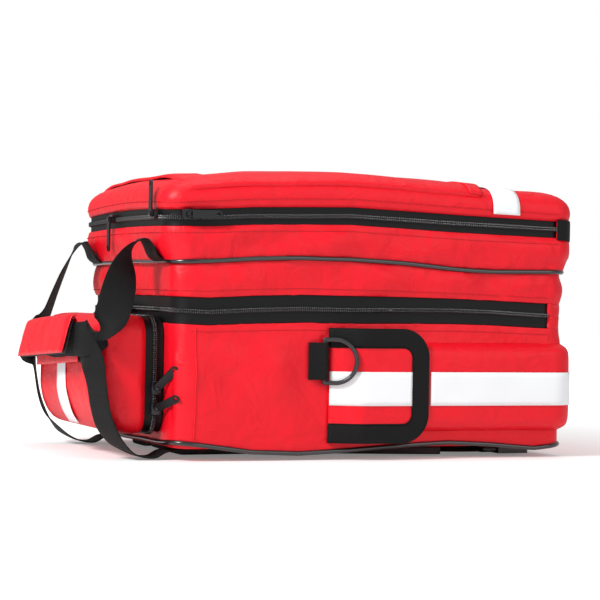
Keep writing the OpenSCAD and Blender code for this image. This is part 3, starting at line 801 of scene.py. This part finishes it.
class BACKPACK_OT_flaps(PieceOperator, bpy.types.Operator):
    """Side flaps with their bound edge, reflective band, and the tabs that hold the rings"""
    bl_idname = "backpack.flaps"
    bl_label = "Flaps and ring tabs"

    def execute(self, context):
        low, high, end, r = FLAP_LOW, FLAP_HIGH, 0.055, 0.032
        for side, sy in (("near", -1), ("far", 1)):
            body = f"flap_{side}"
            s = np.concatenate([np.linspace(-0.06, end - r, 24),
                                end - r + r * np.sin(np.linspace(0.08, 1, 16) * np.pi / 2)])
            drop = np.where(s > end - r, r - np.sqrt(np.maximum(r ** 2 - (s - end + r) ** 2, 0)), 0)
            t = np.linspace(0, 1, 30)
            z = (low + drop)[:, None] + (high - low - 2 * drop)[:, None] * t
            grid = flap_point(s[:, None], z, 0.0, sy)
            grid[..., 1] += sy * (0.3 + spectrum(grid, 0.07, 61)) * 0.0005
            obj = surface(f"flap_cloth_{side}", grid, away=(0, 0, 0.08))
            give(obj, red_cloth(), body, [f"flap_{side}"], thickness=0.0016)
            edge = flap_edge(-0.06, end, r, high, 26, 20)
            step = np.gradient(edge, axis=0)
            step /= np.linalg.norm(step, axis=1, keepdims=True)
            inward = np.stack([step[:, 1], -step[:, 0]], 1)
            width = np.array([0.0215, 0.018, 0.01, 0.003, 0.0, -0.0007, 0.0, 0.003, 0.01, 0.018])
            out = np.array([0.0008, 0.0011, 0.0012, 0.0012, 0.0009, -0.0008, -0.0022, -0.0024, -0.0024,
                            -0.0023])
            place = edge[:, None] + inward[:, None] * width[:, None]
            grid = flap_point(place[..., 0], place[..., 1], out, sy)
            along = run_length(edge)
            uv = np.stack(np.broadcast_arrays(along[:, None], width), -1)
            obj = surface(f"flap_binding_{side}", grid, uv, closed_v=True, caps=True, away=(0, 0, 0.0825))
            give(obj, webbing(), body)
            s = np.linspace(-0.0595, 0.0345, 30)
            z = np.linspace(TAPE_LOW, TAPE_HIGH, 8)
            grid = flap_point(s[:, None], z, 0.0011, sy)
            obj = surface(f"flap_band_{side}", grid, away=(0, 0, 0.08))
            give(obj, tape(), body, [f"flap_stripe_{side}"], thickness=0.0005)
            # tab folded round the ring's bar
            ang = np.radians(np.linspace(100, -100, 9))
            fold = np.stack([-0.066 + 0.0036 * np.cos(ang), 0.1695 - 0.0036 * np.sin(ang)], 1)
            line = np.concatenate([[[-0.084, 0.1662], [-0.075, 0.1662]], fold,
                                   [[-0.075, 0.1704], [-0.084, 0.1684]]])
            knots = np.concatenate([line * [1, sy], np.full((len(line), 1), 0.1095)], 1)
            obj = ribbon(f"ring_tab_{side}", knots, np.tile([0, 0, 1.0], (len(knots), 1)), 0.0415, 0.0016, 90)
            give(obj, webbing(), "shell", ["ring_tabs"] if side == "near" else ())
        return {"FINISHED"}


class BACKPACK_OT_end_pocket(PieceOperator, bpy.types.Operator):
    """Padded pocket on the top end, its zip band and its reflective band"""
    bl_idname = "backpack.end_pocket"
    bl_label = "End pocket"

    @staticmethod
    def place(grid):
        """Turns the dome to face -X and draws its lower front in."""
        y, z, h = grid[..., 0], grid[..., 1] + 0.092, grid[..., 2]
        low = np.clip((0.075 - z) / 0.045, 0, 1) ** 1.5
        top = np.clip((z - 0.125) / 0.03, 0, 1) ** 1.5
        h = h - (h - 0.262) * (0.22 * low + 0.06 * top)
        return np.stack([-h, y, z], -1)

    def execute(self, context):
        size = (0.26, 0.128, 0.022)
        profile = [(0.0, 0.2615), (-0.001, 0.268), (-0.0015, 0.276), (-0.0012, 0.285), (-0.0005, 0.294),
                   (0.0015, 0.303), (0.005, 0.3095), (0.01, 0.3138), (0.016, 0.316), (0.024, 0.3172),
                   (0.034, 0.318), (0.046, 0.3184), (0.055, 0.3185), (0.061, 0.3185)]
        obj = dome("end_pocket_cloth", size, profile, self.place, 71, wave=0.0012, step=0.003,
                   away=(-0.285, 0, 0.09))
        sew(obj, "end_pocket", ["end_pocket"], thickness=0.0022)
        for name, x0, x1, body, node in (("end_tape_inner", 0.2398, 0.2502, "shell", "end_zip_inner"),
                                         ("end_tape_outer", 0.2507, 0.263, "end_pocket", "end_zip_outer")):
            pts, nrm = outline(*size, 0.004, True)
            t = np.linspace(0, 1, 6)
            grid = np.empty((len(pts), 6, 3))
            grid[..., 0] = -(x0 + (x1 - x0) * t)
            out = -0.0006 - 0.0006 * np.sin(np.pi * t)
            grid[..., 1:] = pts[:, None] + nrm[:, None] * out[:, None] + [0, 0.092]
            obj = surface(name, grid, closed_u=True, away=(-0.25, 0, 0.092))
            give(obj, zip_tape(), body, [node], thickness=0.0012)
        pts, nrm = outline(*size, sizes().coil_pitch / 5, True)
        for name, x, body in (("end_coil_inner", -0.2494, "shell"),
                              ("end_coil_outer", -0.2516, "end_pocket")):
            line = np.concatenate([np.full((len(pts), 1), x), pts + nrm * 0.0003 + [0, 0.092]], 1)
            make_coil(name, line, body)
        z = np.linspace(0.0325, 0.148, 40)
        y = np.linspace(-0.019, 0.019, 6)
        h = 0.3185 - np.clip((0.05 - z) / 0.02, 0, 1) ** 2 * 0.006 - np.clip((z - 0.135) / 0.018, 0,
                                                                             1) ** 2 * 0.006
        flat = np.stack(np.broadcast_arrays(y[None], z[:, None] - 0.092, h[:, None]), -1)
        inner = np.clip(np.minimum(z - 0.028, 0.156 - z) / 0.03, 0, 1)[:, None]
        flat[..., 2] += dome_wave(flat, 71, 0.0012) * inner
        grid = self.place(flat)
        grid[..., 0] -= 0.0012
        obj = surface("end_pocket_band", grid, away=(-0.28, 0, 0.09))
        give(obj, tape(), "end_pocket", ["end_stripe"], thickness=TAPE_T)
        return {"FINISHED"}


FRONT_LEG = np.array([[-0.2425, -0.122, 0.216], [-0.252, -0.122, 0.2225], [-0.258, -0.1215, 0.2345],
                      [-0.265, -0.121, 0.241], [-0.2755, -0.12, 0.232], [-0.286, -0.1265, 0.208],
                      [-0.295, -0.134, 0.181], [-0.303, -0.1385, 0.157], [-0.313, -0.137, 0.141],
                      [-0.324, -0.122, 0.132], [-0.329, -0.1, 0.13], [-0.3295, -0.06, 0.129],
                      [-0.3295, 0.0, 0.126]])
FRONT_WIDE = np.array([[0, 1, 0], [0, 1, 0], [0, 1, 0], [0.1, 1, 0], [0.35, 0.94, 0], [0.75, 0.4, -0.2],
                       [0.95, -0.1, -0.25], [0.9, -0.4, -0.2], [0.5, -0.8, 0.3], [0.1, -0.3, 1],
                       [0, 0, 1], [0, 0, 1], [0, 0, 1]], float)
FRONT_WIDE_FAR = np.array([[0, 1, 0], [0, 1, 0], [0.05, 1, 0], [0.1, 1, 0], [0.2, 0.98, 0],
                           [0.35, 0.93, -0.05], [0.4, 0.9, -0.1], [0.35, 0.85, -0.35], [0.2, 0.6, -0.75],
                           [0, 0.2, -1], [0, 0, -1], [0, 0, -1]], float)
REAR_LEG = np.array([[-0.222, -0.12, 0.0106], [-0.238, -0.12, 0.008], [-0.25, -0.12, 0.0022],
                     [-0.264, -0.12, 0.003], [-0.278, -0.121, 0.0085], [-0.292, -0.124, 0.019],
                     [-0.304, -0.129, 0.035], [-0.312, -0.132, 0.056], [-0.317, -0.133, 0.083],
                     [-0.3205, -0.129, 0.105], [-0.3235, -0.112, 0.119], [-0.3238, -0.09, 0.123],
                     [-0.3238, -0.055, 0.123], [-0.3238, 0.0, 0.12]])
REAR_WIDE = np.array([[0, -1, 0], [0, -1, 0], [0, -1, 0], [0, -1, 0], [0.05, -1, 0], [0.15, -0.98, 0.1],
                      [0.3, -0.95, 0.05], [0.3, -0.95, 0], [0.3, -0.95, 0.1], [0.3, -0.7, 0.6],
                      [0.1, -0.2, 1], [0, 0, 1], [0, 0, 1], [0, 0, 1]], float)


class BACKPACK_OT_handles(PieceOperator, bpy.types.Operator):
    """The two webbing handles, each bending at its ends"""
    bl_idname = "backpack.handles"
    bl_label = "Handles"

    def execute(self, context):
        rows = [("front_strap", FRONT_LEG, FRONT_WIDE, FRONT_WIDE_FAR, "main_lid", "front_handle",
                 (-0.264, 0, 0.241), (-0.287, 0, 0.206), ["front_handle", "front_handle_ends"]),
                ("rear_strap", REAR_LEG, REAR_WIDE, REAR_WIDE[:-1] * [-1, 1, 1], "shell", "rear_handle",
                 (-0.252, 0, 0.002), (-0.292, 0, 0.017), ["rear_handle", "rear_handle_ends"])]
        for name, leg, wide, wide_far, root, loop, start, end, nodes in rows:
            # the far half runs along the near half's mirror image, its width signed to go on smoothly
            knots = np.concatenate([leg, leg[-2::-1] * [1, -1, 1]])
            across = np.concatenate([wide, wide_far[::-1]])
            flip = np.sign((across[1:] * across[:-1]).sum(1))
            across[1:] *= np.cumprod(np.where(flip == 0, 1, flip))[:, None]
            obj = ribbon(name, knots, across, sizes().strap_width, 0.0018, 420)
            give(obj, webbing(), None, nodes)
            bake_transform(obj)
        return {"FINISHED"}


class BACKPACK_OT_grip(PieceOperator, bpy.types.Operator):
    """Padded wrap round both handles: an inner leaf between them and an outer leaf over them"""
    bl_idname = "backpack.grip"
    bl_label = "Grip wrap"

    @staticmethod
    def leaf(name, knots, half, thick, seed, mats, slot, body, nodes, skew=0.0):
        """Padded leaf: a puffed strip along a bent section, wide along Y, tilted by skew from end to end."""
        line = smooth_line(np.array([[k[0], 0, k[1]] for k in knots]) / 1000, 26)
        step = np.gradient(line, axis=0)
        step /= np.linalg.norm(step, axis=1, keepdims=True)
        face = np.stack([-step[:, 2], np.zeros(26), step[:, 0]], 1)
        y = np.linspace(-1, 1, 40)
        edge_y = (1 - np.abs(y) ** 10) ** 0.5
        edge_s = (1 - np.abs(np.linspace(-1, 1, 26)) ** 10) ** 0.5
        puff = np.maximum(edge_y[:, None] * edge_s, 0.02)
        flat = np.empty((40, 26, 3))
        flat[:] = line
        flat[..., 1] = (y * half)[:, None]
        puff = puff * (1 + 0.12 * spectrum(flat, 0.05, seed))
        sides = [flat + face * (puff * thick / 2)[..., None], flat - face * (puff * thick / 2)[..., None]]
        grid = np.concatenate([sides[0], sides[1][:, ::-1]], 1)
        grid[..., 0] -= skew * (grid[..., 1] / half + 1) / 2
        grid[..., 2] += 0.002 - 0.01 * (grid[..., 1] / half + 1) / 2
        uv = np.stack([grid[..., 1], grid[..., 2]], -1)
        obj = surface(name, grid, uv, closed_v=True, caps=True)
        turn_out(obj, grid, grid.mean(1))
        give(obj, mats, body, nodes)
        return obj

    def execute(self, context):
        self.leaf("grip_inner", [(-326.6, 103), (-326.6, 120), (-326.8, 140), (-328.5, 150),
                                 (-332.5, 154)], 0.09, 0.002, 81, red_cloth(), "red_fabric",
                  "front_handle", ["wrap_lining"])
        self.leaf("grip_outer", [(-328.5, 154.2), (-334, 153), (-338, 142), (-341.5, 128), (-345.5, 113)],
                  0.092, 0.0055, 82, red_cloth(), "red_fabric", "wrap_flap", ["wrap_flap"], skew=0.004)
        self.leaf("grip_outer_lining", [(-332.2, 149), (-334.4, 142), (-337.5, 128), (-341.4, 112)],
                  0.0905, 0.0014, 83, lining(), "black_lining", "wrap_flap", (), skew=0.004)
        return {"FINISHED"}


class BACKPACK_OT_harness(PieceOperator, bpy.types.Operator):
    """Back pads and stowed shoulder straps with their lower webbing and plugs"""
    bl_idname = "backpack.harness"
    bl_label = "Back pads and shoulder straps"

    def execute(self, context):
        for name, low, high, nodes in (("spine_cushion", (-0.21, -0.03), (0.104, 0.03), ["spine_pad"]),
                                       ("lumbar_cushion", (0.112, -0.1), (0.202, 0.1), [])):
            middle = (np.array(low) + high) / 2
            length, width = np.array(high) - low
            profile = [(0.002, -0.0118), (0.0, -0.009), (0.0005, -0.006), (0.003, -0.003),
                       (0.008, -0.0012), (0.014, -0.0004), (0.022, 0.0), (0.028, 0.0)]
            obj = dome(name, (length, width, 0.018), profile, lambda g: g * [1, 1, -1] + [*middle, 0], 91,
                       wave=0.0, step=0.003, away=(middle[0], middle[1], 0.006))
            give(obj, lining(), "shell", nodes)
        for side, sy in (("left", -1), ("right", 1)):
            knots = np.array([[-0.205, -0.068, 0.006], [-0.13, -0.067, 0.006], [-0.06, -0.068, 0.006],
                              [0.0, -0.082, 0.006], [0.06, -0.098, 0.006], [0.1, -0.106, 0.006]]) * [1,
                                                                                                     -sy, 1]
            obj = ribbon(f"shoulder_pad_{side}", knots, np.tile([0, 1.0, 0], (6, 1)), 0.062, 0.01, 90,
                         32, puff=0.35)
            give(obj, lining(), f"shoulder_strap_{side}", [f"shoulder_strap_{side}"])
            knots = np.array([[0.095, -0.118, 0.005], [0.12, -0.125, 0.005],
                              [0.152, -0.125, 0.005]]) * [1, -sy, 1]
            obj = ribbon(f"shoulder_webbing_{side}", knots, np.tile([0, 1.0, 0], (3, 1)), 0.025, 0.0018, 30)
            give(obj, webbing(), f"shoulder_strap_{side}")
            knots = np.array([[0.15, -0.125, 0.0065], [0.158, -0.125, 0.0065],
                              [0.1675, -0.125, 0.0065]]) * [1, -sy, 1]
            obj = ribbon(f"plug_{side}", knots, np.tile([0, 1.0, 0], (3, 1)), 0.02, 0.007, 16)
            give(obj, acetal(), f"shoulder_strap_{side}")
        return {"FINISHED"}


class BACKPACK_OT_inside(PieceOperator, bpy.types.Operator):
    """Padded dividers and the net pocket"""
    bl_idname = "backpack.inside"
    bl_label = "Inner pieces"

    def execute(self, context):
        for i, x in enumerate((-0.075, 0.075)):
            knots = np.array([[x, -0.155, 0.08], [x + 0.0006, 0, 0.08], [x, 0.155, 0.08]])
            obj = ribbon(f"divider_{i + 1}", knots, np.tile([0, 0, 1.0], (3, 1)), 0.119, 0.0058, 60, 32,
                         puff=0.4)
            give(obj, grey_lining(), "shell", ["padded_dividers"] if i == 0 else ())
        x = np.linspace(-0.168, 0.038, 96)
        y = np.linspace(-0.118, 0.118, 110)
        grid = np.stack(np.broadcast_arrays(x[:, None], y, 0.3085), -1).copy()
        edge = np.minimum(np.minimum(x[:, None] + 0.168, 0.038 - x[:, None]), 0.118 - np.abs(y))
        grid[..., 2] -= 0.0035 * np.clip(edge / 0.02, 0, 1) ** 0.6
        obj = surface("net_pocket", grid, away=(0, 0, 0.5))
        net = obj.modifiers.new("net", "WIREFRAME")
        net.thickness = 0.0008
        give(obj, webbing(), "front_lid", ["mesh_pocket"])
        return {"FINISHED"}


class BACKPACK_OT_stitching(PieceOperator, bpy.types.Operator):
    """Rows of stitches beside the zips, on the front and on the flaps"""
    bl_idname = "backpack.stitching"
    bl_label = "Stitching"

    def execute(self, context):
        step = sizes().stitch / 6
        # name, outline, level, row in SIDES of the cloth it is sewn through, and body
        rows = [("stitches_shell_top", SHELL, 0.1425, "shell", "shell"),
                ("stitches_mid_low", SHELL, 0.1865, "mid", "main_lid"),
                ("stitches_front_low", FRONT, 0.2505, "front", "main_lid"),
                ("stitches_front_high", FRONT, 0.2868, None, "front_lid")]
        for name, size, level, key, body in rows:
            pts, nrm = outline(*size, step)
            line = np.concatenate([pts, np.full((len(pts), 1), level)], 1)
            out = side_relief(key, line, run_length(pts)) if key else np.full(len(line), 0.0022)
            line[:, :2] += nrm * (out + 0.0003)[:, None]
            line = sag(line)
            if body == "shell":
                # none on the end, where the end pocket's pulls lie
                for side, sy in (("near", -1), ("far", 1)):
                    stitch_row(f"{name}_{side}", line[(line[:, 0] > -0.222) & (line[:, 1] * sy > 0)],
                               body, red_thread())
            else:
                stitch_row(name, line, body, red_thread())
        for side, sy in (("near", -1), ("far", 1)):
            # seam where the end panel meets the side, a narrow ridge
            z = np.linspace(0.022, 0.146, 60)
            line = np.stack([np.full(60, -0.2165), np.full(60, sy * HALF_WIDTH), z], 1)
            along = np.full(60, 0.216 + 0.2165) if sy < 0 else np.full(60, 1.1525)
            out = side_relief("shell", line, along)
            line[:, 1] += sy * (out + 0.0002)
            obj = tube(f"end_seam_{side}", sag(line), 0.0011, sides=8)
            give(obj, red_cloth(), "shell")
        for side, sy in (("near", -1), ("far", 1)):
            edge = flap_edge(-0.058, 0.0345, 0.0125, 0.1255, 150, 60)
            size = run_length(edge)
            even = np.arange(0, size[-1], step)
            edge = np.stack([np.interp(even, size, edge[:, j]) for j in (0, 1)], 1)
            stitch_row(f"stitches_flap_{side}", flap_point(edge[:, 0], edge[:, 1], 0.0013, sy),
                       f"flap_{side}", webbing())
        return {"FINISHED"}


class BACKPACK_OT_hardware(PieceOperator, bpy.types.Operator):
    """Finishes of the sliders, pulls, rings, buckles and the stiffener"""
    bl_idname = "backpack.hardware"
    bl_label = "Hardware finishes"

    def execute(self, context):
        for name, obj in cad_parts.items():
            if "slider" in name:
                mat = enamel()
            elif "pull" in name:
                mat = rubber()
            elif name.startswith("ring_") and name != "ring_tabs" or name == "strap_sockets":
                mat = acetal()
            elif name == "stiffener_sheet":
                mat = material("grey_plastic_sheet", srgb("#4C4C4F"), 0.5)
            else:
                continue
            obj.data.materials.clear()
            obj.data.materials.append(mat)
        return {"FINISHED"}


class BACKPACK_OT_stage(PieceOperator, bpy.types.Operator):
    """Floor, studio lights and camera"""
    bl_idname = "backpack.stage"
    bl_label = "Stage"

    def execute(self, context):
        floor = surface("floor", np.stack(np.meshgrid([-6.0, 6.0], [-6.0, 6.0], [-0.0005], indexing="ij"),
                                          -1)[:, :, 0], away=(0, 0, -1))
        pale = material("pale_floor", colours().floor, 0.6, uneven=0.0)
        shader = pale.node_tree.nodes["Principled BSDF"]
        shader.inputs["Emission Color"].default_value = (1, 1, 1, 1)
        # only for the camera: a faint lift that grows with distance, so that the floor ends in white
        tree = pale.node_tree
        seen = add(tree, "ShaderNodeLightPath").outputs["Is Camera Ray"]
        where = add(tree, "ShaderNodeTexCoord").outputs["Object"]
        far = add(tree, "ShaderNodeVectorMath", {0: where}, operation="LENGTH").outputs["Value"]
        lift = add(tree, "ShaderNodeMapRange", {"Value": far, "From Min": 0.35, "From Max": 1.6,
                                                "To Min": 0.22, "To Max": 1.0})
        glow = add(tree, "ShaderNodeMath", {0: lift.outputs["Result"], 1: seen}, operation="MULTIPLY")
        tree.links.new(glow.outputs["Value"], shader.inputs["Emission Strength"])
        floor.data.materials.append(pale)
        world = bpy.data.worlds.new("studio")
        world.use_nodes = True
        tree = world.node_tree
        # seen directly the backdrop is white; as light it is softer
        seen = add(tree, "ShaderNodeLightPath").outputs["Is Camera Ray"]
        level = add(tree, "ShaderNodeMapRange", {"Value": seen, "To Min": 0.4, "To Max": 1.0})
        back = tree.nodes["Background"]
        back.inputs["Color"].default_value = (1, 1, 1, 1)
        tree.links.new(level.outputs["Result"], back.inputs["Strength"])
        context.scene.world = world
        # plain display of sRGB colours, so that the cloth keeps its full red
        context.scene.view_settings.view_transform = "Standard"
        for name, place, size, power in (("key", (-2.0, -1.0, 1.7), 0.6, 58),
                                         ("fill", (1.2, -2.2, 1.2), 1.4, 11),
                                         ("top", (0.1, 0.3, 2.4), 1.6, 13)):
            light = bpy.data.lights.new(name, "AREA")
            light.energy = power
            light.size = size
            lamp = bpy.data.objects.new(name, light)
            lamp.location = place
            aim = np.array([0, 0, 0.15]) - place
            lamp.rotation_euler = (math.atan2(math.hypot(aim[0], aim[1]), -aim[2]), 0,
                                   math.atan2(aim[0], -aim[1]) + math.pi)
            context.collection.objects.link(lamp)
        camera = bpy.data.cameras.new("camera")
        camera.lens = 120
        camera.sensor_width = 36
        camera.dof.use_dof = False
        eye = bpy.data.objects.new("camera", camera)
        eye.location = (-0.913, -2.221, 0.177)
        eye.rotation_euler = (math.radians(90), math.radians(-1), -math.atan2(0.3697, 0.9291))
        context.collection.objects.link(eye)
        context.scene.camera = eye
        return {"FINISHED"}


OPERATORS = (BACKPACK_OT_shell, BACKPACK_OT_lids, BACKPACK_OT_front_pocket, BACKPACK_OT_zips,
             BACKPACK_OT_piping, BACKPACK_OT_side_pockets, BACKPACK_OT_flaps, BACKPACK_OT_end_pocket,
             BACKPACK_OT_handles, BACKPACK_OT_grip, BACKPACK_OT_harness, BACKPACK_OT_inside,
             BACKPACK_OT_stitching, BACKPACK_OT_hardware, BACKPACK_OT_stage)


class BACKPACK_PT_panel(bpy.types.Panel):
    """Sizes, colours and pieces of the backpack"""
    bl_idname = "BACKPACK_PT_panel"
    bl_label = "Backpack"
    bl_space_type = "VIEW_3D"
    bl_region_type = "UI"
    bl_category = "Backpack"

    def draw(self, context):
        for group in (context.scene.backpack_sizes, context.scene.backpack_colours):
            for key in group.__annotations__:
                self.layout.prop(group, key)
        for op in OPERATORS:
            self.layout.operator(op.bl_idname)


CLASSES = (BackpackSizes, BackpackColours, *OPERATORS, BACKPACK_PT_panel)


def register():
    for cls in CLASSES:
        bpy.utils.register_class(cls)
    bpy.types.Scene.backpack_sizes = bpy.props.PointerProperty(type=BackpackSizes)
    bpy.types.Scene.backpack_colours = bpy.props.PointerProperty(type=BackpackColours)


def unregister():
    del bpy.types.Scene.backpack_colours
    del bpy.types.Scene.backpack_sizes
    for cls in reversed(CLASSES):
        bpy.utils.unregister_class(cls)


def main():
    register()
    for op in OPERATORS:
        group, name = op.bl_idname.split(".")
        getattr(getattr(bpy.ops, group), name)()


if __name__ == "__main__":
    main()
